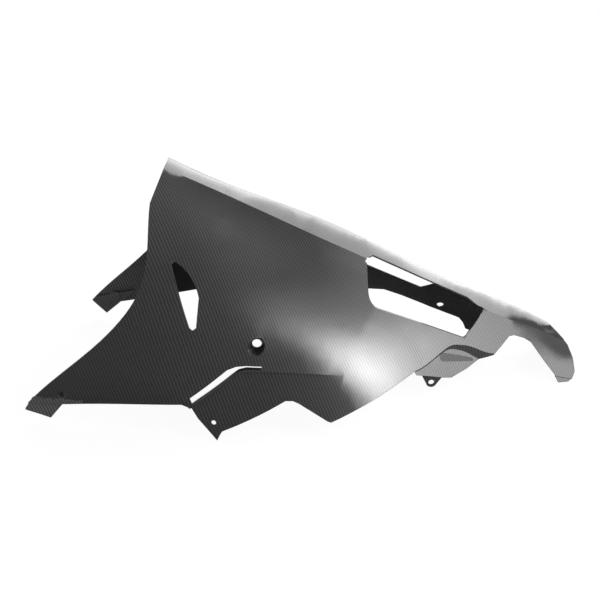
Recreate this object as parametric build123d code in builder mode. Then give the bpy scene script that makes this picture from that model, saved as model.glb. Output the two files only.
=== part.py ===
from build123d import *
import os
from math import atan2, degrees
from typing import NamedTuple

# A belly pan in one moulding: two flanks joined along a narrow keel.
# It is drawn in the keel's own frame: s runs rearward along the keel, h is the depth away from the
# keel crease, Y runs across with the right-hand flank at -Y. At the end it is laid down to rest.

# Laminate
WALL = 2.0
KEEL_CLEAR = 30.0
HALF_SPACE = 300.0
DEPTHS = (36.0, 124.0, 250.0, 400.0)


class Station(NamedTuple):
    """Hull section: place along the keel, keel half-width and rise, half-widths at DEPTHS."""

    s: float
    keel: float
    rise: float
    widths: tuple


STATIONS = (
    Station(-80, 15, 5, (78, 144, 160, 167)),
    Station(40, 20, 8.5, (84, 156, 171, 183)),
    Station(160, 25, 14.5, (78, 167, 198, 228)),
    Station(280, 30, 17.5, (68, 161, 230, 285)),
    Station(400, 31, 13.5, (62, 152, 250, 330)),
    Station(520, 27, 15, (59, 130, 235, 330)),
    Station(600, 13, 13, (53, 112, 210, 310)),
    Station(690, 5, 5, (47, 100, 190, 290)),
)

# Rest points of the rims: bracket tips and rear arm tips
BRACKET_TIP = (195.6, 256.0)
REAR_TIP = (660.5, 43.2)

# Bracket that steps inboard below the slot
JOGGLE = 6.5
JOGGLE_AT = 175.0
JOGGLE_END = 318.0
JOGGLE_HINGE = 179.0
STEP_BAND = 2.2
BRACKET_HOLE = (182.2, 237.3)
BRACKET_HOLE_R = 3.25

# Fastener cup in each flank
CUP_AT = (193.3, 125.4)
CUP_R = 10.5
CUP_HOLE_R = 6.25
CUP_DEPTH = 12.0

# Blind countersunk dimple at each front tip
DIMPLE_AT = (-14.4, 304.8)
DIMPLE_BOSS_R = 9.0
DIMPLE_RIM_R = 6.5
DIMPLE_PIN_R = 2.8
DIMPLE_DEPTH = 2.4
DIMPLE_PIN_DEPTH = 4.5

# Flange lapped behind each front tip, and tab lapped behind the end of each rear arm
FLANGE_SET_IN = 1.6
FLANGE_TURN = 6.0
FLANGE_HINGE = (325.0, 165.0)
TAB_SET_IN = 1.4

# Scoop under the right-hand lip: its face leaves the lip with a turn and a drop
SCOOP_HINGE = (408.0, 88.0)
SCOOP_TURN = 7.5
SCOOP_DROP = 2.0
LIP_LAP = 1.0

# Fastening ear below the scoop
EAR_HOLE = (452.8, 107.8)
EAR_HOLE_R = 4.2
EAR_R = 7.6
EAR_THICKNESS = 2.5
EAR_INBOARD = 11.0
EAR_ROOT = 17.0
EAR_FRONT = 30.0
EAR_KNEE = (21.0, 7.0)
EAR_SHOULDER = (5.0, 5.6)
EAR_REAR = 10.0

# Side windows, and the strip that each takes from the edge of the keel, in plan
WINDOW_TOP = -1.0
WINDOW_FRONT = 301.0
RIGHT_WINDOW_REAR = 493.0
LEFT_WINDOW_REAR = 441.0
STRIP_INNER = 20.5
STRIP_CORNER = 30.75
STRIP_OUTER = 46.0
STRIP_DEPTH = 5.0
STRIP_LEAD = 9.0
STRIP_TAIL = 27.0

# Hole in the left-hand rail
RAIL_HOLE = (472.6, 55.6)
RAIL_HOLE_R = 5.0

SIDE = Plane.XZ


def at(s, h):
    """Sketch point on the side plane at s along the keel and depth h."""
    return (s, -h)


def side_points(*pairs):
    """Sketch points on the side plane for a run of (s, h) pairs."""
    return [at(s, h) for s, h in pairs]


def half_section(st, inset):
    """Ridge, crease and flank points of one half section, each mitred in by inset."""
    ridge, crease = Vector(0, st.rise), Vector(st.keel, 0)
    chain = [Vector(-st.keel, 0), ridge, crease]
    chain += [Vector(w, -h) for w, h in zip(st.widths, DEPTHS)]
    chain.append(2 * chain[-1] - chain[-2])
    ways = [(b - a).normalized() for a, b in zip(chain, chain[1:])]
    inward = [Vector(way.Y, -way.X) for way in ways]
    mitres = [(m + n) * (inset / (1 + m.dot(n))) for m, n in zip(inward, inward[1:])]
    return [point + mitre for point, mitre in zip(chain[1:], mitres)]


def hull(inset=0.0):
    """Solid whose surface lies inset millimetres inside the outer hull."""
    with BuildPart() as body:
        for st in STATIONS:
            ridge, *flank_points = half_section(st, inset)
            mirrored = [Vector(-point.X, point.Y) for point in flank_points]
            with BuildSketch(Plane(origin=(st.s, 0, 0), x_dir=(0, 1, 0), z_dir=(1, 0, 0))):
                with BuildLine():
                    Polyline(mirrored[0], ridge, flank_points[0])
                    Spline(flank_points)
                    Spline(mirrored)
                    Line(flank_points[-1], mirrored[-1])
                make_face()
        loft()
    return body.part


def prism(outline, side):
    """Block that the closed outline sweeps from the centre plane out through one flank."""
    with BuildPart() as block:
        with BuildSketch(SIDE):
            add(outline)
        extrude(amount=-side * HALF_SPACE)
    return block.part


FRONT_EDGE = (
    (-3.4, 36.8), (7, 58), (19.6, 83.2), (28, 120.1), (19, 171.5), (-10, 243), (-33, 291.5),
)
RIGHT_TIP = (-52, 337.5)
LEFT_TIP = (-47.4, 327.6)
LOWER_RIM = (
    (-5.6, 315.4), (134.5, 232.5), (143.6, 231.6), (162, 243.2), BRACKET_TIP,
    (195.8, 248), (196.6, 242), (199, 239), (255.5, 171.5), (264.5, 168), (273.5, 168),
)
RIGHT_LOBE = ((273.5, 168), (317.2, 173), (322, 172.6), (375.1, 128.6), (417, 92.6))
LIP = (
    (417, 92.6), (434.5, 78.9), (449.6, 62.8), (460.8, 53.3), (472.5, 49.4), (488.2, 46.7),
    (510, 46.4), (529.4, 43.4),
)
LEFT_RAIL = (
    (273.5, 168), (316, 132), (365.5, 99.9), (386.7, 80.8), (414.8, 75.1), (475.8, 69.3),
    (514.3, 65.8), (526, 72), (539, 82.8), (545.7, 81.9), (556, 50), (561, 19),
)
REAR_ARM = (
    (569.7, 14), (582.2, 15.6), (590, 19.6), (611.4, 30.6), (636.5, 42.4), (664.5, 38.6),
    (666.7, 28.7), (660.3, 15.2), (649.2, 4), (636, -1.5), (618, -8.5), (600, -15.5),
    (590, -KEEL_CLEAR), (-6, -KEEL_CLEAR),
)


def front_edge(tip):
    """Leading edge of a flank, from above the keel down to its front tip."""
    Polyline(side_points((-6, -KEEL_CLEAR), (-6, 0), FRONT_EDGE[0]))
    Spline(side_points(*FRONT_EDGE, tip))


with BuildSketch(mode=Mode.PRIVATE) as right_outline:
    with BuildLine():
        front_edge(RIGHT_TIP)
        Polyline(side_points(RIGHT_TIP, *LOWER_RIM, *RIGHT_LOBE[1:]))
        Spline(side_points(*LIP))
        Polyline(side_points(LIP[-1], (544.6, 18.3), (552.2, 15), *REAR_ARM))
    make_face()

with BuildSketch(mode=Mode.PRIVATE) as left_outline:
    with BuildLine():
        front_edge(LEFT_TIP)
        Polyline(side_points(LEFT_TIP, *LOWER_RIM, *LEFT_RAIL[1:], *REAR_ARM))
    make_face()

# Side windows up to the keel crease, the right-hand one longer than the left
with BuildSketch(mode=Mode.PRIVATE) as right_window:
    with BuildLine():
        Polyline(side_points((RIGHT_WINDOW_REAR, WINDOW_TOP), (WINDOW_FRONT, WINDOW_TOP),
                             (325, 46.8), (474, 40.3)))
        ThreePointArc(at(474, 40.3), at(485, 22.5), at(RIGHT_WINDOW_REAR, WINDOW_TOP))
    make_face()
    fillet(right_window.vertices().sort_by(Axis.Y)[0], 22)
    fillet(right_window.vertices().sort_by(Axis.X).sort_by(Axis.Y)[2], 4)

with BuildSketch(mode=Mode.PRIVATE) as left_window:
    with BuildLine():
        Polyline(side_points((LEFT_WINDOW_REAR, WINDOW_TOP), (WINDOW_FRONT, WINDOW_TOP),
                             (323, 40.4), (424.1, 35.8), (434.7, 15.9),
                             (LEFT_WINDOW_REAR, WINDOW_TOP)))
    make_face()
    fillet(left_window.vertices().group_by(Axis.Y)[:2], 5)

# Vent high on each flank, a rounded triangle
with BuildSketch(mode=Mode.PRIVATE) as vent:
    with BuildLine():
        ThreePointArc(at(54.8, 77.8), at(81, 84), at(101, 100))
        Polyline(side_points((101, 100), (112.4, 132), (109.5, 136.8), (104.4, 135.2),
                             (70.3, 99.5), (52.5, 81.9), (54.8, 77.8)))
    make_face()
    fillet(vent.vertices(), 1.6)

# Slot between the main panel and the bracket, and the region of the bracket below it
SLOT_TOP = (
    (140.4, 219.5), (164.2, 173.6), (169.5, 163.6), (178.4, 155.4), (189.9, 149.8),
    (210.2, 143.6),
)
SLOT_FOOT = (
    (146, 224.5), (151, 220.6), (178, 169.8), (183.6, 160.4), (192, 154.4), (208.5, 148.8),
)
STEP_LINE = ((246, 137.5), (285, 127.5), (JOGGLE_END, 119.5))

with BuildSketch(mode=Mode.PRIVATE) as slot:
    with BuildLine():
        Polyline(side_points(*SLOT_TOP, *SLOT_FOOT[::-1], SLOT_TOP[0]))
    make_face()
    fillet(slot.vertices().group_by(Axis.X)[0], 2)

BRACKET_START = (146, 231)
with BuildSketch(mode=Mode.PRIVATE) as bracket_region:
    with BuildLine():
        Polyline(side_points(BRACKET_START, *SLOT_FOOT[1:], *STEP_LINE,
                             (JOGGLE_END, 300), (100, 300), BRACKET_START))
    make_face()

with BuildSketch(mode=Mode.PRIVATE) as step_band:
    with BuildLine():
        top = (BRACKET_START, *SLOT_FOOT[1:], *STEP_LINE)
        foot = tuple((s, h + STEP_BAND) for s, h in reversed(top))
        Polyline(side_points(*top, *foot, top[0]))
    make_face()

# Flange below each front tip and tab at the end of each rear arm
with BuildSketch(mode=Mode.PRIVATE) as right_flange:
    with BuildLine():
        Polyline(side_points((-49, 326), (-53, 347.5), (-16.4, 344), (-5.7, 308), (-49, 326)))
    make_face()
    fillet(right_flange.vertices().group_by(Axis.Y)[0], 2)

with BuildSketch(mode=Mode.PRIVATE) as left_flange:
    with BuildLine():
        Polyline(side_points((-42, 316), (-47.4, 327.6), (-16.9, 343.3), (12.9, 279.8), (-42, 316)))
    make_face()

with BuildSketch(mode=Mode.PRIVATE) as tab_outline:
    with BuildLine():
        Polyline(side_points((632, 34), (637, 44), (644, 49), REAR_TIP, (664.6, 38), (664, 30),
                             (632, 34)))
    make_face()

outer = hull()
cavity = hull(WALL)
skin = outer - cavity


def half_width(s, h):
    """Half-width of the outer hull at s along the keel and depth h."""
    hits = outer.find_intersection_points(Axis((s, 0, -h), (0, -1, 0)))
    return max(abs(point.Y) for point, _ in hits)


def bracket_turn(side):
    """Turn about an upright axis that swings the bracket inboard by the joggle."""
    swing = degrees(atan2(JOGGLE, JOGGLE_END - JOGGLE_AT))
    hinge = Pos(JOGGLE_END, side * JOGGLE_HINGE, 0)
    return hinge * Rot(0, 0, side * swing) * hinge.inverse()


def flank(side, outline):
    """One flank with its half of the keel, its slot and its stepped-in bracket."""
    block, region = prism(outline.sketch, side), prism(bracket_region.sketch, side)
    band = prism(step_band.sketch, side)
    turn = bracket_turn(side)
    main = (skin & block) - region
    bracket = (turn * skin) & region & block
    step = (outer - turn * cavity) & band & block
    return main + bracket + step


def round_bar(spot, side, radius, start, length):
    """Round bar along Y through the side point spot, from half-width start outwards."""
    with BuildPart() as bar:
        with BuildSketch(SIDE.offset(-side * start)):
            with Locations(at(*spot)):
                Circle(radius)
        extrude(amount=-side * length)
    return bar.part


def cup_shell(side):
    """Wall and floor of the recessed fastener cup, trimmed to the outer surface."""
    reach = half_width(*CUP_AT)
    return round_bar(CUP_AT, side, CUP_R + WALL, reach - CUP_DEPTH, 2 * CUP_DEPTH) & outer


def dimple_boss(side):
    """Thickened seat behind the countersunk dimple, trimmed to the outer surface."""
    reach = half_width(*DIMPLE_AT)
    depth = DIMPLE_PIN_DEPTH + WALL
    return round_bar(DIMPLE_AT, side, DIMPLE_BOSS_R, reach - depth, 2 * depth) & outer


def dimple_sink(side):
    """Conical countersink of the dimple with its blind pin hole."""
    reach = half_width(*DIMPLE_AT)
    with BuildPart() as sink:
        with BuildSketch(SIDE.offset(-side * (reach + DIMPLE_DEPTH))):
            with Locations(at(*DIMPLE_AT)):
                Circle(2 * DIMPLE_RIM_R - DIMPLE_PIN_R)
        with BuildSketch(SIDE.offset(-side * (reach - DIMPLE_DEPTH))):
            with Locations(at(*DIMPLE_AT)):
                Circle(DIMPLE_PIN_R)
        loft()
        add(round_bar(DIMPLE_AT, side, DIMPLE_PIN_R, reach - DIMPLE_PIN_DEPTH, DIMPLE_PIN_DEPTH))
    return sink.part


def lapped(side, outline, set_in):
    """Piece of laminate inside the outline that is bonded behind the flank, set in from it."""
    return (Pos(0, -side * set_in, 0) * skin) & prism(outline.sketch, side)


def tip_flange(side, outline):
    """Flange behind a front tip, its lower edge turned inboard."""
    hinge = Pos(0, side * FLANGE_HINGE[1], -FLANGE_HINGE[0])
    turn = hinge * Rot(side * FLANGE_TURN, 0, 0) * hinge.inverse()
    return turn * lapped(side, outline, FLANGE_SET_IN)


def keel_strip(side, rear):
    """Block that opens a window up into the side of the keel, cut square to the keel's face."""
    with BuildPart() as strip:
        with BuildSketch(Plane.XY.offset(-STRIP_DEPTH)):
            with BuildLine():
                Polyline((WINDOW_FRONT, side * STRIP_OUTER), (WINDOW_FRONT, side * STRIP_CORNER),
                         (WINDOW_FRONT + STRIP_LEAD, side * STRIP_INNER),
                         (rear - STRIP_TAIL, side * STRIP_INNER),
                         (rear, side * STRIP_CORNER), (rear, side * STRIP_OUTER), close=True)
            make_face()
        extrude(amount=KEEL_CLEAR)
    return strip.part


with BuildSketch(mode=Mode.PRIVATE) as scoop_region:
    with BuildLine():
        Polyline(side_points((412, 92), (440, 55), (462, 38), (531, 38), (530, 46), (511, 60.5),
                             (496.5, 75), (476, 90), (461, 93), (420, 98), (412, 92)))
    make_face()


def scoop():
    """Set-back face under the right-hand lip, with the wall that drops to it from the lip."""
    hinge = Pos(SCOOP_HINGE[0], 0, -SCOOP_HINGE[1])
    turn = Pos(0, 0, -SCOOP_DROP) * hinge * Rot(0, SCOOP_TURN, 0) * hinge.inverse()
    region = prism(scoop_region.sketch, -1)
    lip = [(s, -half_width(s, h) + LIP_LAP) for s, h in LIP]
    with BuildPart() as curtain:
        with BuildSketch(Plane.XY.offset(-SCOOP_HINGE[1] - KEEL_CLEAR)):
            with BuildLine():
                Spline(lip)
                Line(lip[-1], (lip[-1][0], lip[-1][1] + WALL))
                Spline([(s, y + WALL) for s, y in lip])
                Line(lip[0], (lip[0][0], lip[0][1] + WALL))
            make_face()
        extrude(amount=SCOOP_HINGE[1] + 2 * KEEL_CLEAR)
    lowered, hollow = turn * outer, turn * cavity
    face = (turn * skin) & region
    wall = (curtain.part & outer & region) - hollow
    return face + wall, lowered


def ear(lowered):
    """Fastening ear that hangs behind the lower edge of the scoop's face."""
    s, h = EAR_HOLE
    reach = half_width(s, h - EAR_ROOT) - EAR_INBOARD
    with BuildPart() as plate:
        with BuildSketch(SIDE.offset(reach - EAR_THICKNESS)):
            with BuildLine():
                Polyline(side_points(
                    (s - EAR_FRONT, h - 2 * EAR_ROOT), (s - EAR_KNEE[0], h - EAR_KNEE[1]),
                    (s - EAR_SHOULDER[0], h + EAR_SHOULDER[1]),
                    (s + EAR_SHOULDER[0], h + EAR_SHOULDER[1]), (s + EAR_R, h),
                    (s + EAR_REAR, h - EAR_ROOT), (s + EAR_REAR, h - 2 * EAR_ROOT),
                    (s - EAR_FRONT, h - 2 * EAR_ROOT)))
            make_face()
            with Locations(at(s, h)):
                Circle(EAR_R)
        extrude(amount=EAR_THICKNESS)
    return plate.part & lowered


right = flank(-1, right_outline)
left = flank(1, left_outline)
scoop_face, scoop_hull = scoop()

with BuildPart() as pan:
    add(right)
    add(left)
    add(scoop_face)
    add(ear(scoop_hull))
    for side, window, rear, flange in (
        (-1, right_window, RIGHT_WINDOW_REAR, right_flange),
        (1, left_window, LEFT_WINDOW_REAR, left_flange),
    ):
        add(prism(window.sketch, side), mode=Mode.SUBTRACT)
        add(keel_strip(side, rear), mode=Mode.SUBTRACT)
        add(prism(vent.sketch, side), mode=Mode.SUBTRACT)
        add(prism(slot.sketch, side), mode=Mode.SUBTRACT)
        add(cup_shell(side))
        add(dimple_boss(side))
        add(tip_flange(side, flange))
        add(lapped(side, tab_outline, TAB_SET_IN))
        floor = half_width(*CUP_AT) - CUP_DEPTH
        add(round_bar(CUP_AT, side, CUP_R, floor + WALL, 2 * CUP_DEPTH), mode=Mode.SUBTRACT)
        add(round_bar(CUP_AT, side, CUP_HOLE_R, floor - WALL, CUP_DEPTH), mode=Mode.SUBTRACT)
        add(dimple_sink(side), mode=Mode.SUBTRACT)
        add(round_bar(BRACKET_HOLE, side, BRACKET_HOLE_R, 0, HALF_SPACE), mode=Mode.SUBTRACT)
    add(round_bar(RAIL_HOLE, 1, RAIL_HOLE_R, 0, HALF_SPACE), mode=Mode.SUBTRACT)
    add(round_bar(EAR_HOLE, -1, EAR_HOLE_R, 0, HALF_SPACE), mode=Mode.SUBTRACT)

tilt = degrees(atan2(BRACKET_TIP[1] - REAR_TIP[1], REAR_TIP[0] - BRACKET_TIP[0]))
laid = Rot(0, tilt, 0) * pan.part
box = laid.bounding_box()
rested = Pos(-box.center().X, -box.center().Y, -box.min.Z) * laid
rested.label = "belly_pan"
os.makedirs("parts", exist_ok=True)
export_step(rested, "parts/belly_pan.step")
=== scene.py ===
"""A gloss twill-carbon belly pan for a motorcycle, lying keel up on a pale studio floor."""

import logging
import math
from dataclasses import dataclass, field
from enum import Enum

import bmesh
import bpy
import numpy as np
from mathutils import Matrix, Vector

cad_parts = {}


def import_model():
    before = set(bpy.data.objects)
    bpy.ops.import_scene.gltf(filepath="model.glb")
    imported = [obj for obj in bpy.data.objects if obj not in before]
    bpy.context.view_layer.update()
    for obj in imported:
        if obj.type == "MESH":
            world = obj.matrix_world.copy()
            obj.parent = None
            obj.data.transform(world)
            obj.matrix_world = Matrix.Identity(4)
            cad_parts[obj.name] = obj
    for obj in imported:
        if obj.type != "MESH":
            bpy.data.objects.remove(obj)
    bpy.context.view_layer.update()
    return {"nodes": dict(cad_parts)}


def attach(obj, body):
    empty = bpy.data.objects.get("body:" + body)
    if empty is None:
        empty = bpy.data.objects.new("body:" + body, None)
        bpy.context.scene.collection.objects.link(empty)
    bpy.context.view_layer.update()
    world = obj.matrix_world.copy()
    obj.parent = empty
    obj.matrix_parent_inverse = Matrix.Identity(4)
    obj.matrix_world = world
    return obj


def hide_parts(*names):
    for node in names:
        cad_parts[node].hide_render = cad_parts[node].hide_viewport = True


log = logging.getLogger("belly_pan")
MM = 0.001


class Face(Enum):
    """Which finish a face of the laminate takes, as a material index."""

    OUTER = 0
    INNER = 1
    RIM = 2
    # The front tips' inner faces and the near flange take a paler cloth: painted light.
    TIP = 3


def grey(level: float) -> tuple:
    """Neutral colour of one level, opaque."""
    return level, level, level, 1


def read(items: object, name: str, width: int = 1, kind: type = float) -> np.ndarray:
    """Read one attribute of a mesh's vertices, edges, corners or faces.

    Args:
        items: the mesh's collection.
        name: the attribute.
        width: how many numbers each item has.
        kind: type of the numbers.

    Returns:
        One row for each item, or one number where the width is 1.
    """
    values = np.zeros(len(items) * width, kind)
    items.foreach_get(name, values)
    return values.reshape(-1, width) if width > 1 else values


def unit(vectors: np.ndarray) -> np.ndarray:
    """Vectors of the same directions with a length of 1."""
    return vectors / np.maximum(np.linalg.norm(vectors, axis=1), 1e-12)[:, None]


def stand(name: str, bm: bmesh.types.BMesh) -> bpy.types.Object:
    """Turn a bmesh into an object of the scene.

    Args:
        name: name of the object and of its mesh.
        bm: the bmesh, which is freed.

    Returns:
        The object.
    """
    mesh = bpy.data.meshes.new(name)
    bm.to_mesh(mesh)
    bm.free()
    thing = bpy.data.objects.new(name, mesh)
    bpy.context.scene.collection.objects.link(thing)
    return thing


@dataclass(frozen=True)
class KeelFrame:
    """The frame the pan was moulded in, found from the part as it lies.

    Attributes:
        tilt: angle in radians that the keel slopes down towards the rear.
        front: place of the keel's front end at the crease, in metres.
        stations: stations along the keel, in millimetres.
        half_widths: half-width of the keel between its creases at each, in millimetres.
    """

    tilt: float = math.radians(24.5951)
    front: Vector = field(default_factory=lambda: Vector((-0.20114, 0.0, 0.31418)))
    stations: tuple = (-80, 40, 160, 280, 400, 520, 600, 690)
    half_widths: tuple = (15, 20, 25, 30, 31, 27, 13, 5)

    @property
    def lean(self) -> tuple:
        """Cosine and sine of the tilt."""
        return math.cos(self.tilt), math.sin(self.tilt)

    def place(self, points: np.ndarray) -> np.ndarray:
        """Turn points as they lie into the keel's frame.

        Args:
            points: N by 3 array in metres.

        Returns:
            N by 3 array of station along the keel, half-width and depth, in millimetres.
        """
        moved = points - np.array(self.front)
        c, n = self.lean
        along = c * moved[:, 0] - n * moved[:, 2]
        depth = -(n * moved[:, 0] + c * moved[:, 2])
        return np.stack([along, moved[:, 1], depth], axis=1) / MM

    def half_width(self, along: np.ndarray) -> np.ndarray:
        """Half-width of the keel in millimetres at stations along it."""
        return np.interp(along, self.stations, self.half_widths)


class Nodes:
    """Shorthand for building the node tree of a material or of the world."""

    def __init__(self, owner: bpy.types.ID) -> None:
        """Start with an empty node tree.

        Args:
            owner: the material or world whose tree it is.
        """
        owner.use_nodes = True
        self.tree = owner.node_tree
        self.tree.nodes.clear()

    def add(self, kind: str, **settings: object) -> bpy.types.Node:
        """Add a node and set its attributes.

        Args:
            kind: the node's type name.
            settings: attributes of the node.

        Returns:
            The node.
        """
        node = self.tree.nodes.new("ShaderNode" + kind)
        for key, value in settings.items():
            setattr(node, key, value)
        return node

    def feed(self, node: bpy.types.Node, socket: object, value: object) -> None:
        """Link an output to a socket, or set the socket's own value.

        Args:
            node: the node that is fed.
            socket: index or name of its input.
            value: a number, a vector or another node's output.
        """
        target = node.inputs[socket]
        if isinstance(value, bpy.types.NodeSocket):
            self.tree.links.new(value, target)
        else:
            target.default_value = value

    def fill(self, node: bpy.types.Node, values: tuple, output: object = 0) -> bpy.types.NodeSocket:
        """Feed a node's first sockets in order.

        Args:
            node: the node.
            values: numbers, vectors or sockets.
            output: index or name of the output that is wanted.

        Returns:
            That output socket.
        """
        for index, value in enumerate(values):
            self.feed(node, index, value)
        return node.outputs[output]

    def math(self, operation: str, *values: object) -> bpy.types.NodeSocket:
        """One Math node."""
        return self.fill(self.add("Math", operation=operation), values)

    def vector(self, operation: str, *values: object, output: object = 0) -> bpy.types.NodeSocket:
        """One Vector Math node."""
        return self.fill(self.add("VectorMath", operation=operation), values, output)

    def scaled(self, vector: object, factor: object) -> bpy.types.NodeSocket:
        """Multiply a vector or a colour by a number.

        Args:
            vector: the vector or colour.
            factor: the number.

        Returns:
            The output socket.
        """
        node = self.add("VectorMath", operation="SCALE")
        self.feed(node, 0, vector)
        self.feed(node, "Scale", factor)
        return node.outputs[0]

    def blend(self, share: object, first: object, second: object) -> bpy.types.NodeSocket:
        """Mix two numbers.

        Args:
            share: share of the second, 0 to 1.
            first: the first number.
            second: the second number.

        Returns:
            The output socket.
        """
        node = self.add("Mix", data_type="FLOAT")
        self.feed(node, 0, share)
        self.feed(node, 2, first)
        self.feed(node, 3, second)
        return node.outputs[0]

    def tint(self, share: object, first: object, second: object) -> bpy.types.NodeSocket:
        """Mix two colours.

        Args:
            share: share of the second, 0 to 1.
            first: the first colour.
            second: the second colour.

        Returns:
            The output socket.
        """
        node = self.add("Mix", data_type="RGBA")
        self.feed(node, 0, share)
        self.feed(node, 6, first)
        self.feed(node, 7, second)
        return node.outputs[2]

    def ramp(self, value: object, low: float, high: float, a: float = 0, b: float = 1) -> object:
        """Clamped smooth step of value from low to high, giving a to b."""
        node = self.add("MapRange", interpolation_type="SMOOTHSTEP")
        return self.fill(node, (value, low, high, a, b))

    def place(self) -> bpy.types.NodeSocket:
        """Coordinates on the piece itself."""
        return self.add("TexCoord").outputs["Object"]

    def noise(self, scale: float, detail: float) -> bpy.types.NodeSocket:
        """Noise over the piece.

        Args:
            scale: how many times it repeats in a metre.
            detail: how many finer layers it has.

        Returns:
            The output socket.
        """
        node = self.add("TexNoise")
        self.feed(node, "Vector", self.place())
        self.feed(node, "Scale", scale)
        self.feed(node, "Detail", detail)
        return node.outputs[0]

    def bump(self, height: object, distance: float, normal: object = None) -> bpy.types.NodeSocket:
        """Turn a height into a normal.

        Args:
            height: the height, 0 to 1.
            distance: how far apart 0 and 1 lie, in metres.
            normal: the normal that it starts from, if not the mesh's own.

        Returns:
            The output socket.
        """
        node = self.add("Bump")
        self.feed(node, "Height", height)
        self.feed(node, "Distance", distance)
        if normal is not None:
            self.feed(node, "Normal", normal)
        return node.outputs[0]

    def shader(self, kind: str, **inputs: object) -> bpy.types.NodeSocket:
        """Add a shader and feed its inputs.

        Args:
            kind: the node's type name.
            inputs: values or sockets by the input's name, with an underscore for each blank.

        Returns:
            The shader's output socket.
        """
        node = self.add(kind)
        for name, value in inputs.items():
            self.feed(node, name.replace("_", " "), value)
        return node.outputs[0]

    def finish(self, shader: object, kind: str = "OutputMaterial") -> None:
        """Join a shader to the tree's output."""
        self.feed(self.add(kind), "Surface", shader)


@dataclass(frozen=True)
class Kidney:
    """Kidney-shaped hollow in the scoop's face, shown only by painted shade: darker cloth and a weaker coat
    inside it.

    Attributes:
        blunt: station and distance down the section of its blunt end, in millimetres.
        narrow: the same of its narrow end.
        reach: half-width at the blunt end, in millimetres.
        taper: share of that half-width that is lost at the narrow end.
        shade: share of the cloth's colour left inside, as painted shade.
        coat: clear coat weight inside, lowered as painted shade on its reflection.
    """

    blunt: tuple = (455, 91, 0)
    narrow: tuple = (500, 77, 0)
    reach: float = 6.5
    taper: float = 0.6
    shade: float = 0.4
    coat: float = 0.45

    def mask(self, n: Nodes) -> bpy.types.NodeSocket:
        """Mask of the hollow's painted shade on the near flank's cloth.

        Args:
            n: the material being built.

        Returns:
            Socket that is 1 inside it and 0 outside.
        """
        way = Vector(self.narrow) - Vector(self.blunt)
        start = n.vector("SUBTRACT", n.add("UVMap", uv_map="cloth").outputs[0], self.blunt)
        run = n.vector("DOT_PRODUCT", start, way / way.length_squared, output="Value")
        share = n.fill(n.add("Clamp"), (run,))
        off = n.vector("DISTANCE", start, n.scaled(way, share), output="Value")
        width = n.math("MULTIPLY", n.math("SUBTRACT", 1.0, n.math("MULTIPLY", share, self.taper)), self.reach)
        side = n.fill(n.add("SeparateXYZ"), (n.place(),), "Y")
        return n.math("MULTIPLY", n.math("LESS_THAN", off, width), n.math("LESS_THAN", side, 0.0))


@dataclass(frozen=True)
class Specks:
    """Pale specks of raw resin, gathered in patches.

    Attributes:
        strength: share of their colour at the middle of a speck.
        noise: scale and detail of the noise that gives them.
        span: its levels between which a speck begins and is full.
        patches: levels of the cloth's cloud between which a patch begins and is full.
        colour: their colour.
    """

    strength: float = 0.5
    noise: tuple = (420.0, 2.0)
    span: tuple = (0.62, 0.72)
    patches: tuple = (0.5, 0.65)
    colour: tuple = grey(0.3)

    def over(self, n: Nodes, colour: object, cloud: object) -> bpy.types.NodeSocket:
        """Lay the specks over a colour.

        Args:
            n: the material being built.
            colour: the cloth's colour.
            cloud: the cloth's cloud.

        Returns:
            The colour with its specks.
        """
        speck = n.ramp(n.noise(*self.noise), *self.span)
        share = n.math("MULTIPLY", speck, n.ramp(cloud, *self.patches))
        return n.tint(n.math("MULTIPLY", share, self.strength), colour, self.colour)


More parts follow.
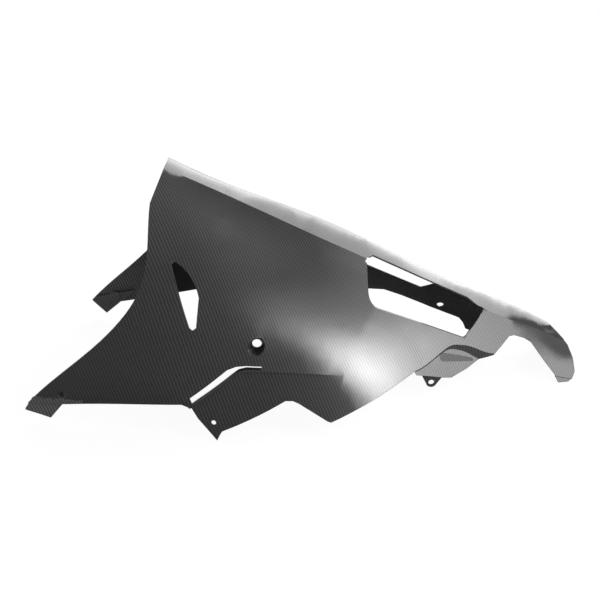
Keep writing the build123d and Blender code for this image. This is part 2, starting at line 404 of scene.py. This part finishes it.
@dataclass(frozen=True)
class Twill:
    """Two-by-two twill carbon cloth under resin.

    Attributes:
        name: the material's name.
        warp: colour of the tows that run down the flank.
        weft: colour of the tows that run along the keel.
        coat: clear coat weight.
        rough: roughness of the warp.
        relief: bump height of the cloth, in millimetres.
        specks: the raw resin's specks, on a face with no lacquer.
        kidney_shade: painted shade of the hollow in the scoop's face, if this finish has it.
        tow: width of one tow, in millimetres.
        over: how many tows each tow passes over, and then under.
        rough_weft: how much rougher the weft is than the warp.
        fibre_gloss: specular level of the fibres under the coat.
        keel_shade_fade: where, down the section in millimetres, the painted shade on the keel fades out.
        keel_painted_shade: share of the cloth's colour left on the keel, painted shade against the strong
            light it takes.
        cloud: scale and detail of the slow noise over the piece.
        cloud_span: its levels between which the tone changes.
        cloud_tone: the cloth's tone at those levels, which differs at random.
        coat_rough: roughness of the coat.
        coat_ior: index of refraction of the coat.
        peel: height of the slow waves in the coat, in millimetres.
        peel_noise: their scale and detail.
        edge: radius to which edges look rounded, in millimetres.
        edge_rays: rays that find the rounded edges.
    """

    name: str
    warp: tuple
    weft: tuple
    coat: float = 1.0
    rough: float = 0.28
    relief: float = 0.05
    specks: Specks | None = None
    kidney_shade: Kidney | None = None
    tow: float = 1.4
    over: int = 2
    rough_weft: float = 0.1
    fibre_gloss: float = 0.15
    keel_shade_fade: tuple = (-1.5, 0.5)
    keel_painted_shade: float = 0.3
    cloud: tuple = (9.0, 3.0)
    cloud_span: tuple = (0.3, 0.7)
    cloud_tone: tuple = (0.85, 1.1)
    coat_rough: float = 0.045
    coat_ior: float = 1.5
    peel: float = 0.12
    peel_noise: tuple = (38.0, 1.0)
    edge: float = 0.7
    edge_rays: int = 6

    def weave(self, n: Nodes) -> tuple:
        """Pattern of the cloth from the piece's own UV map, in millimetres.

        Args:
            n: the material being built.

        Returns:
            Sockets of the warp's share, 0 or 1, of the cloth's height, 0 to 1, and of the share of
            the cloth's colour left by the painted shade on the keel.
        """
        split = n.add("SeparateXYZ")
        n.feed(split, 0, n.add("UVMap", uv_map="cloth").outputs[0])
        across_warp = n.math("DIVIDE", split.outputs[0], self.tow)
        across_weft = n.math("DIVIDE", split.outputs[1], self.tow)
        column, row = n.math("FLOOR", across_warp), n.math("FLOOR", across_weft)
        turn = n.math("FLOORED_MODULO", n.math("SUBTRACT", column, row), 2.0 * self.over)
        warp_up = n.math("LESS_THAN", turn, self.over - 0.5)
        crowns = []
        for across in (across_warp, across_weft):
            side = n.math("SUBTRACT", n.math("FRACT", across), 0.5)
            fall = n.math("MULTIPLY", 4.0, n.math("MULTIPLY", side, side))
            crowns.append(n.math("SUBTRACT", 1.0, fall))
        height = n.blend(warp_up, crowns[1], crowns[0])
        # Painted shade: the cloth's colour is cut on the keel, which takes strong light.
        painted_keel_shade = n.ramp(split.outputs[1], *self.keel_shade_fade, self.keel_painted_shade, 1.0)
        return warp_up, height, painted_keel_shade

    def material(self) -> bpy.types.Material:
        """Build the material.

        Returns:
            The finished material.
        """
        material = bpy.data.materials.new(self.name)
        n = Nodes(material)
        warp_up, height, painted_keel_shade = self.weave(n)
        cloud = n.noise(*self.cloud)
        # Random cloud in the cloth's tone, times the painted shade on the keel.
        light = n.math("MULTIPLY", n.ramp(cloud, *self.cloud_span, *self.cloud_tone), painted_keel_shade)
        coat = self.coat
        # Painted shade of the hollow in the scoop's face: darker cloth and a weaker coat inside it.
        if self.kidney_shade:
            inside = self.kidney_shade.mask(n)
            light = n.math("MULTIPLY", light, n.blend(inside, 1.0, self.kidney_shade.shade))
            coat = n.blend(inside, self.coat, self.kidney_shade.coat)
        colour = n.scaled(n.tint(warp_up, self.weft, self.warp), light)
        if self.specks:
            colour = self.specks.over(n, colour, cloud)
        edge = n.add("Bevel", samples=self.edge_rays)
        n.feed(edge, "Radius", self.edge * MM)
        n.finish(n.shader(
            "BsdfPrincipled",
            Base_Color=colour,
            Roughness=n.blend(warp_up, self.rough + self.rough_weft, self.rough),
            Specular_IOR_Level=self.fibre_gloss,
            Normal=n.bump(height, self.relief * MM, edge.outputs[0]),
            Coat_Weight=coat,
            Coat_Roughness=self.coat_rough,
            Coat_IOR=self.coat_ior,
            Coat_Normal=n.bump(n.noise(*self.peel_noise), self.peel * MM, edge.outputs[0]),
        ))
        return material


@dataclass(frozen=True)
class Resin:
    """Bare black edge of the trimmed laminate.

    Attributes:
        name: the material's name.
        dark: colour of the resin.
        pale: colour of the cut plies.
        rough: roughness of the resin.
        rough_plies: how much rougher the cut plies are.
        relief: bump height of the plies, in millimetres.
        plies: scale and detail of the noise that stands for them.
        tone_span: its levels between which the colour changes.
        rough_span: its levels between which the roughness changes.
    """

    name: str = "trimmed_edge"
    dark: tuple = grey(0.012)
    pale: tuple = grey(0.03)
    rough: float = 0.3
    rough_plies: float = 0.2
    relief: float = 0.04
    plies: tuple = (900.0, 2.0)
    tone_span: tuple = (0.3, 0.7)
    rough_span: tuple = (0.2, 0.8)

    def material(self) -> bpy.types.Material:
        """Build the material.

        Returns:
            The finished material.
        """
        material = bpy.data.materials.new(self.name)
        n = Nodes(material)
        plies = n.noise(*self.plies)
        n.finish(n.shader(
            "BsdfPrincipled",
            Base_Color=n.tint(n.ramp(plies, *self.tone_span), self.dark, self.pale),
            Roughness=n.ramp(plies, *self.rough_span, self.rough, self.rough + self.rough_plies),
            Normal=n.bump(plies, self.relief * MM),
        ))
        return material


@dataclass(frozen=True)
class Crest:
    """A soft swage in a flank: the skin turns along a line.

    Attributes:
        line: station and depth of the line's points, in millimetres.
        reach: how far to the sides of the line it is felt, in millimetres.
        height: how far it stands out, in millimetres.
        skew: share of the reach that lies behind the line.
        ends: how many times shorter than the line each end's fade is.
    """

    line: tuple
    reach: float
    height: float
    skew: float = 0.5
    ends: float = 4.0

    def rise(self, along: np.ndarray, depth: np.ndarray) -> np.ndarray:
        """Height of the swage at points of a flank.

        Args:
            along: stations in millimetres.
            depth: depths in millimetres.

        Returns:
            Heights in millimetres.
        """
        off = np.full(len(along), np.inf)
        side = np.zeros(len(along))
        run = np.zeros(len(along))
        line = np.array(self.line, float)
        total = np.hypot(*np.diff(line, axis=0).T).sum()
        gone = 0.0
        for start, stop in zip(line, line[1:]):
            way = stop - start
            length = np.hypot(*way)
            x, y = along - start[0], depth - start[1]
            share = np.clip((x * way[0] + y * way[1]) / length ** 2, 0, 1)
            far = np.hypot(x - share * way[0], y - share * way[1])
            closer = far < off
            off = np.where(closer, far, off)
            side = np.where(closer, np.sign(way[0] * y - way[1] * x), side)
            run = np.where(closer, (gone + share * length) / total, run)
            gone += length
        width = self.reach * np.where(side > 0, 2 * self.skew, 2 - 2 * self.skew)
        bell = np.clip(1 - (off / width) ** 2, 0, 1) ** 2
        fade = np.clip(run * self.ends, 0, 1) * np.clip((1 - run) * self.ends, 0, 1)
        return self.height * bell * fade


@dataclass(frozen=True)
class DrawIn:
    """The flanks drawn in below the keel, so that its creases read as creases.

    Attributes:
        stations: stations along the keel, in millimetres.
        inset: how far the flank is drawn in at each, in millimetres.
        depth: depth below the crease at which it is drawn in most, in millimetres.
    """

    stations: tuple = (-80, 40, 160, 280, 330)
    inset: tuple = (12.0, 15.0, 8.0, 3.0, 0.0)
    depth: float = 26.0

    def pull(self, along: np.ndarray, depth: np.ndarray) -> np.ndarray:
        """Distance that points of a flank move inwards.

        Args:
            along: stations in millimetres.
            depth: depths in millimetres.

        Returns:
            Distances in millimetres.
        """
        share = np.maximum(depth, 0) / self.depth
        return np.interp(along, self.stations, self.inset) * share * np.exp(1 - share)


@dataclass(frozen=True)
class Patch:
    """A stretch of the shell in the keel's frame, in millimetres.

    Attributes:
        along: first and last station.
        depth: least and greatest depth.
        across: least and greatest distance from the middle, towards +Y.
    """

    along: tuple = (-np.inf, np.inf)
    depth: tuple = (-np.inf, np.inf)
    across: tuple = (-np.inf, np.inf)

    def holds(self, places: np.ndarray) -> np.ndarray:
        """Tell which places lie within.

        Args:
            places: N by 3 array of station, half-width and depth, in millimetres.

        Returns:
            One True or False for each place.
        """
        low, high = np.array((self.along, self.across, self.depth)).T
        return ((places > low) & (places < high)).all(axis=1)


@dataclass(frozen=True)
class Tuck:
    """The scoop's top edge, tucked behind the window's lower rear corner.

    Attributes:
        patch: where the edge lies.
        inwards: how far it moves towards the near side, in millimetres.
        down: how far it moves down in the keel's frame, in millimetres.
    """

    patch: Patch = Patch((440, 482), (36, 42.5), (-61, 0))
    inwards: float = -6.3
    down: float = 6.0


@dataclass(frozen=True)
class Edging:
    """Which edges stay sharp and which are smoothed over.

    Attributes:
        sharp: angle in radians past which an edge stays sharp.
        beside: how far beside the keel's crease an edge may lie, in millimetres.
        level: how far above or below it, in millimetres.
        end: station at which the creases have run out, in millimetres.
        ridge: the keel's middle ridge, which is smoothed over.
        hinge: where the brackets leave the flanks, smoothed over too.
    """

    sharp: float = math.radians(24)
    beside: float = 1.2
    level: float = 0.5
    end: float = 560
    ridge: Patch = Patch(depth=(-np.inf, -3), across=(-0.6, 0.6))
    hinge: Patch = Patch((298, 322), (104, 184))

    def lines(self, mesh: bpy.types.Mesh, keel: KeelFrame) -> tuple:
        """Find the edges that run along the keel's creases, and those to smooth over.

        Args:
            mesh: the shell's mesh.
            keel: the keel's frame.

        Returns:
            Two arrays, with True for each crease edge and for each edge to smooth over.
        """
        places = keel.place(read(mesh.vertices, "co", 3))
        along, across, depth = places.T
        off = np.abs(np.abs(across) - keel.half_width(along))
        creased = (off < self.beside) & (np.abs(depth) < self.level) & (along < self.end)
        eased = self.ridge.holds(places) | self.hinge.holds(places)
        ends = read(mesh.edges, "vertices", 2, int)
        return creased[ends].all(axis=1), eased[ends].all(axis=1)


@dataclass(frozen=True)
class Sides:
    """How the outer, inner and trimmed faces are told apart.

    Attributes:
        facing: cosine from the outward direction past which a face is skin and not rim.
        flank: distance from the middle at which the outward direction points fully sideways.
        keel: depth at which it no longer points up.
        least_up: how much it still points up below that.
        tips: the inner faces of the front tips, which take a paler cloth as painted light.
        flange: last station of the near tip's flange, its upper line's depth at station 0 and
            how much that line rises for each millimetre, in millimetres.
    """

    facing: float = 0.45
    flank: float = 60
    keel: float = 160
    least_up: float = 0.05
    tips: Patch = Patch((-np.inf, 40), (130, np.inf))
    flange: tuple = (14, 304.5, 0.415)

    def sort(self, mesh: bpy.types.Mesh, normals: np.ndarray, keel: KeelFrame) -> np.ndarray:
        """Choose the finish of each face.

        Args:
            mesh: the shell's mesh.
            normals: its face normals.
            keel: the keel's frame.

        Returns:
            The material index of each face.
        """
        places = keel.place(read(mesh.polygons, "center", 3))
        along, across, depth = places.T
        c, n = keel.lean
        up = normals[:, 0] * n + normals[:, 2] * c
        out_y = np.sign(across) * np.minimum(np.abs(across) / self.flank, 1)
        out_z = np.clip(1 - depth / self.keel, self.least_up, 1)
        facing = (normals[:, 1] * out_y + up * out_z) / np.hypot(out_y, out_z)
        kind = np.full(len(facing), Face.RIM.value)
        kind[facing > self.facing] = Face.OUTER.value
        kind[facing < -self.facing] = Face.INNER.value
        # Painted light: the tips' inner faces and the near flange take the paler tip cloth.
        kind[self.tips.holds(places) & (kind == Face.INNER.value)] = Face.TIP.value
        last, line, rise = self.flange
        flange = (along < last) & (depth > line - rise * along) & (across < 0)
        kind[flange & (kind != Face.RIM.value)] = Face.TIP.value
        return kind


@dataclass(frozen=True)
class Evener:
    """Evens out the face normals within each smooth region of the shell.

    Attributes:
        passes: how many times each face takes the mean of itself and its neighbours.
        least: least weight of a face, as a share of the mean face's.
    """

    passes: int = 60
    least: float = 0.02

    def fans(self, near: np.ndarray, far: np.ndarray, count: int) -> np.ndarray:
        """Group the corners that share a vertex and no sharp edge between them.

        Args:
            near: for each smooth edge, the corner that it starts from in its first triangle.
            far: the same in its second triangle, where it runs the other way.
            count: number of corners.

        Returns:
            The group of each corner.
        """
        one = np.concatenate([near, near - near % 3 + (near % 3 + 1) % 3])
        two = np.concatenate([far - far % 3 + (far % 3 + 1) % 3, far])
        group = np.arange(count)
        while True:
            low = np.minimum(group[one], group[two])
            fresh = group.copy()
            np.minimum.at(fresh, one, low)
            np.minimum.at(fresh, two, low)
            fresh = fresh[fresh]
            if (fresh == group).all():
                return group
            group = fresh

    def spread(self, normals: np.ndarray, weight: np.ndarray, pairs: tuple) -> np.ndarray:
        """Spread the face normals over their neighbours.

        Args:
            normals: normal of each face.
            weight: weight of each face.
            pairs: for each smooth edge, the faces on its two sides.

        Returns:
            The evened normal of each face.
        """
        one, two = pairs
        flow = normals * weight[:, None]
        mass = weight.copy()
        for _ in range(self.passes):
            total, share = flow.copy(), mass.copy()
            np.add.at(total, one, flow[two])
            np.add.at(total, two, flow[one])
            np.add.at(share, one, mass[two])
            np.add.at(share, two, mass[one])
            flow, mass = total / 4, share / 4
        return unit(flow)

    def apply(self, mesh: bpy.types.Mesh, edging: Edging, lines: tuple) -> np.ndarray:
        """Set the evened normals and the sharp edges on the mesh.

        Args:
            mesh: the shell's mesh, of triangles.
            edging: which edges stay sharp.
            lines: its edges on the keel's creases and those to smooth over.

        Returns:
            The plain normal of each face.
        """
        count = len(mesh.polygons)
        normals = read(mesh.polygons, "normal", 3)
        areas = read(mesh.polygons, "area")
        edges = read(mesh.loops, "edge_index", kind=int)
        faces = np.repeat(np.arange(count), 3)
        order = np.argsort(edges, kind="stable")
        paired = edges[order]
        first = np.flatnonzero(paired[1:] == paired[:-1])
        one, two = faces[order[first]], faces[order[first + 1]]
        creased, eased = lines
        smooth = (normals[one] * normals[two]).sum(1) > math.cos(edging.sharp)
        smooth &= ~creased[paired[first]]
        smooth |= eased[paired[first]]
        sharp = np.ones(len(mesh.edges), bool)
        sharp[paired[first[smooth]]] = False
        weight = areas / areas.mean() + self.least
        evened = self.spread(normals, weight, (one[smooth], two[smooth]))
        fans = self.fans(order[first[smooth]], order[first[smooth] + 1], 3 * count)
        _, slot = np.unique(fans, return_inverse=True)
        sums = np.zeros((slot.max() + 1, 3))
        np.add.at(sums, slot, evened[faces] * areas[faces][:, None])
        mesh.polygons.foreach_set("use_smooth", np.ones(count, bool))
        flags = mesh.attributes.get("sharp_edge") or mesh.attributes.new("sharp_edge", "BOOLEAN", "EDGE")
        flags.data.foreach_set("value", sharp)
        mesh.normals_split_custom_set(unit(sums)[slot].tolist())
        return normals


@dataclass(frozen=True)
class Shell:
    """The moulded shell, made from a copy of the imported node.

    Attributes:
        node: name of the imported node.
        reach: longest edge left in the mesh, in metres.
        rounds: most rounds of cutting edges down to that.
        weld: distance within which vertices are merged, in metres.
        keel: the keel's frame.
        crests: soft swages pressed into both flanks.
        draw_in: the fall of both flanks below the keel.
        tuck: the scoop's top edge.
        edging: its sharp edges.
        evener: how its normals are evened out.
        sides: how its faces are told apart.
    """

    node: str = "belly_pan"
    reach: float = 0.007
    rounds: int = 12
    weld: float = 0.00001
    keel: KeelFrame = field(default_factory=KeelFrame)
    draw_in: DrawIn = DrawIn()
    tuck: Tuck = Tuck()
    edging: Edging = Edging()
    evener: Evener = Evener()
    sides: Sides = Sides()
    crests: tuple = (
        Crest(((12, 30), (48, 62), (60, 96), (40, 128), (12, 190)), 26.0, -1.6, 0.62),
        Crest(((62, 40), (120, 90), (168, 122), (215, 150)), 34.0, 1.3),
        Crest(((452, 73), (466, 67), (482, 63), (500, 62)), 9.0, -1.5),
    )

    def copy(self, source: bpy.types.Object) -> bpy.types.Object:
        """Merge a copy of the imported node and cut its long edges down.

        Args:
            source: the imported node's object.

        Returns:
            The new object.
        """
        bm = bmesh.new()
        bm.from_mesh(source.data)
        bmesh.ops.remove_doubles(bm, verts=bm.verts, dist=self.weld)
        for _ in range(self.rounds):
            long = [e for e in bm.edges if e.calc_length() > self.reach]
            if not long:
                break
            bmesh.ops.subdivide_edges(bm, edges=long, cuts=1)
            bmesh.ops.triangulate(bm, faces=[f for f in bm.faces if len(f.verts) > 3])
        return stand("belly_pan_shell", bm)

    def press(self, mesh: bpy.types.Mesh) -> None:
        """Press both flanks and the scoop's top edge, keeping the wall's thickness.

        Args:
            mesh: the shell's mesh.
        """
        points = read(mesh.vertices, "co", 3)
        places = self.keel.place(points)
        along, across, depth = places.T
        swell = sum(crest.rise(along, depth) for crest in self.crests) - self.draw_in.pull(along, depth)
        points[:, 1] += np.sign(across) * swell * MM
        c, n = self.keel.lean
        down, inwards = self.tuck.down, self.tuck.inwards
        points[self.tuck.patch.holds(places)] += np.array((-down * n, inwards, -down * c)) * MM
        mesh.vertices.foreach_set("co", points.ravel())
        mesh.update()

    def wrap_cloth(self, mesh: bpy.types.Mesh) -> None:
        """Lay the cloth's UV map, in millimetres along the keel and down the section.

        Args:
            mesh: the shell's mesh.
        """
        along, across, depth = self.keel.place(read(mesh.vertices, "co", 3)).T
        beyond = np.abs(across) - self.keel.half_width(along)
        flank = np.hypot(np.maximum(beyond, 0), np.maximum(depth, 0))
        down = np.where(beyond > 0, flank, beyond)
        corners = read(mesh.loops, "vertex_index", kind=int)
        layer = mesh.uv_layers.new(name="cloth")
        layer.data.foreach_set("uv", np.stack([along[corners], down[corners]], axis=1).ravel())

    def build(self, source: bpy.types.Object, finishes: dict) -> bpy.types.Object:
        """Make the finished shell.

        Args:
            source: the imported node's object.
            finishes: material for each Face.

        Returns:
            The shell's object.
        """
        shell = self.copy(source)
        mesh = shell.data
        for face in Face:
            mesh.materials.append(finishes[face])
        self.wrap_cloth(mesh)
        lines = self.edging.lines(mesh, self.keel)
        self.press(mesh)
        normals = self.evener.apply(mesh, self.edging, lines)
        kind = self.sides.sort(mesh, normals, self.keel)
        mesh.polygons.foreach_set("material_index", kind)
        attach(shell, "root")
        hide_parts(self.node)
        for face in Face:
            log.info("shell, %s: %d triangles", face.name.lower(), (kind == face.value).sum())
        return shell


@dataclass(frozen=True)
class Lobe:
    """A lit stretch of wall, as the part sees it.

    Attributes:
        heading: direction towards its middle.
        edge: cosine from the heading at which it has faded out.
        core: cosine within which it is at full strength.
        strength: its radiance.
    """

    heading: tuple
    edge: float
    core: float
    strength: float


@dataclass(frozen=True)
class Softbox:
    """An oval softbox that fades out towards its edge.

    Attributes:
        place: its centre, in metres.
        target: the point it faces.
        width: its half-width, in metres.
        height: its half-height, in metres.
        strength: radiance at its centre.
    """

    place: tuple
    target: tuple
    width: float
    height: float
    strength: float

    def hang(self) -> None:
        """Build the softbox and hang it in its place."""
        bm = bmesh.new()
        bmesh.ops.create_circle(bm, cap_ends=True, segments=48, radius=1.0)
        bmesh.ops.scale(bm, vec=(self.width, self.height, 1), verts=bm.verts)
        box = stand("softbox", bm)
        turn = (Vector(self.place) - Vector(self.target)).to_track_quat("Z", "Y").to_matrix().to_4x4()
        box.matrix_world = Matrix.Translation(self.place) @ turn
        box.visible_camera = False
        material = bpy.data.materials.new("softbox_glow")
        n = Nodes(material)
        spot = n.vector("MULTIPLY", n.place(), (1 / self.width, 1 / self.height, 0))
        away = n.vector("LENGTH", spot, output="Value")
        glow = n.shader("Emission", Strength=n.ramp(away, 1.0, 0.0, 0.0, self.strength))
        n.finish(n.fill(n.add("AddShader"), (glow, n.shader("BsdfTransparent"))))
        box.data.materials.append(material)


@dataclass(frozen=True)
class Studio:
    """Floor, lamps and camera.

    Attributes:
        focal: lens in millimetres.
        sensor: width of the sensor in millimetres.
        aim: point the camera looks at, in metres.
        distance: from the camera to that point, in metres.
        elevation: degrees that the camera stands above it.
        roll: degrees that the camera leans, clockwise.
        dark: radiance of the unlit room.
        lobes: its lit walls.
        boxes: its softboxes.
        floor_size: half-width of the floor, in metres.
        floor_gap: how far below the part's tips it lies, in metres.
        floor_tone: how much light the floor throws back.
        floor_glow: how brightly the camera sees it.
        floor_lit: share of that which hides its shadows.
    """

    focal: float = 44.52
    sensor: float = 36
    aim: tuple = (-0.0214, 0.0, 0.1093)
    distance: float = 1.113
    elevation: float = 25.0
    roll: float = -0.175
    dark: float = 0.55
    lobes: tuple = (
        Lobe((0.835, -0.372, 0.407), 0.927, 0.996, 5.8),
        Lobe((0.507, 0.604, 0.616), 0.81, 0.90, 5.5),
    )
    boxes: tuple = (
        Softbox((0.371, -0.309, 0.324), (0.125, -0.2, 0.13), 0.145, 0.155, 13.0),
        Softbox((0.396, -0.302, 0.374), (0.125, -0.2, 0.15), 0.24, 0.33, 3.4),
    )
    floor_size: float = 6.0
    floor_gap: float = 0.0005
    floor_tone: float = 0.33
    floor_glow: float = 1.15
    floor_lit: float = 0.82

    def camera(self) -> None:
        """Stand the camera where the photograph was taken from."""
        rise = math.radians(self.elevation)
        back = Vector((0, -math.cos(rise), math.sin(rise)))
        data = bpy.data.cameras.new("camera")
        data.lens = self.focal
        data.sensor_width = self.sensor
        camera = bpy.data.objects.new("camera", data)
        bpy.context.scene.collection.objects.link(camera)
        turn = (-back).to_track_quat("-Z", "Y").to_matrix().to_4x4()
        lean = Matrix.Rotation(math.radians(self.roll), 4, "Y")
        away = Matrix.Translation(back * self.distance)
        camera.matrix_world = Matrix.Translation(self.aim) @ lean @ away @ turn
        bpy.context.scene.camera = camera

    def floor(self) -> None:
        """Lay the pale floor."""
        bm = bmesh.new()
        bmesh.ops.create_grid(bm, x_segments=1, y_segments=1, size=self.floor_size)
        floor = stand("floor", bm)
        floor.location.z = -self.floor_gap
        material = bpy.data.materials.new("pale_floor")
        n = Nodes(material)
        seen = n.add("LightPath").outputs["Is Camera Ray"]
        matt = n.shader("BsdfDiffuse", Color=grey(self.floor_tone))
        glow = n.shader("Emission", Strength=self.floor_glow)
        n.finish(n.fill(n.add("MixShader"), (n.math("MULTIPLY", seen, self.floor_lit), matt, glow)))
        floor.data.materials.append(material)

    def world(self) -> None:
        """White to the camera, and to the gloss a dark room with its lit walls."""
        world = bpy.data.worlds.new("room")
        bpy.context.scene.world = world
        n = Nodes(world)
        heading = n.add("TexCoord").outputs["Generated"]
        glow = self.dark
        for lobe in self.lobes:
            aim = n.vector("DOT_PRODUCT", heading, Vector(lobe.heading).normalized(), output="Value")
            glow = n.math("ADD", glow, n.ramp(aim, lobe.edge, lobe.core, 0, lobe.strength))
        seen = n.add("LightPath").outputs["Is Camera Ray"]
        room = n.shader("Background", Strength=glow)
        white = n.shader("Background", Color=grey(1))
        n.finish(n.fill(n.add("MixShader"), (seen, room, white)), "OutputWorld")

    def build(self) -> None:
        """Set the whole studio up."""
        self.camera()
        self.floor()
        self.world()
        for box in self.boxes:
            box.hang()
        bpy.context.scene.view_settings.view_transform = "Standard"
        log.info("studio: floor, %d softboxes, %d lit walls", len(self.boxes), len(self.lobes))


FINISHES = {
    # The gloss cloth carries the painted shade of the scoop's hollow.
    Face.OUTER: Twill("carbon_gloss", (0.033, 0.033, 0.0335, 1), (0.009, 0.009, 0.0092, 1), kidney_shade=Kidney()),
    Face.INNER: Twill("carbon_raw", grey(0.034), grey(0.022), 0.0, 0.55, 0.15, specks=Specks()),
    # Paler copy of the gloss cloth for the tips and the near flange: painted light.
    Face.TIP: Twill("carbon_tip_painted_light", grey(0.13), grey(0.05)),
    Face.RIM: Resin(),
}


def main() -> None:
    """Build the pan and its studio."""
    logging.basicConfig(level=logging.INFO)
    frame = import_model()
    Studio().build()
    finishes = {face: finish.material() for face, finish in FINISHES.items()}
    Shell().build(frame["nodes"]["belly_pan"], finishes)


if __name__ == "__main__":
    main()
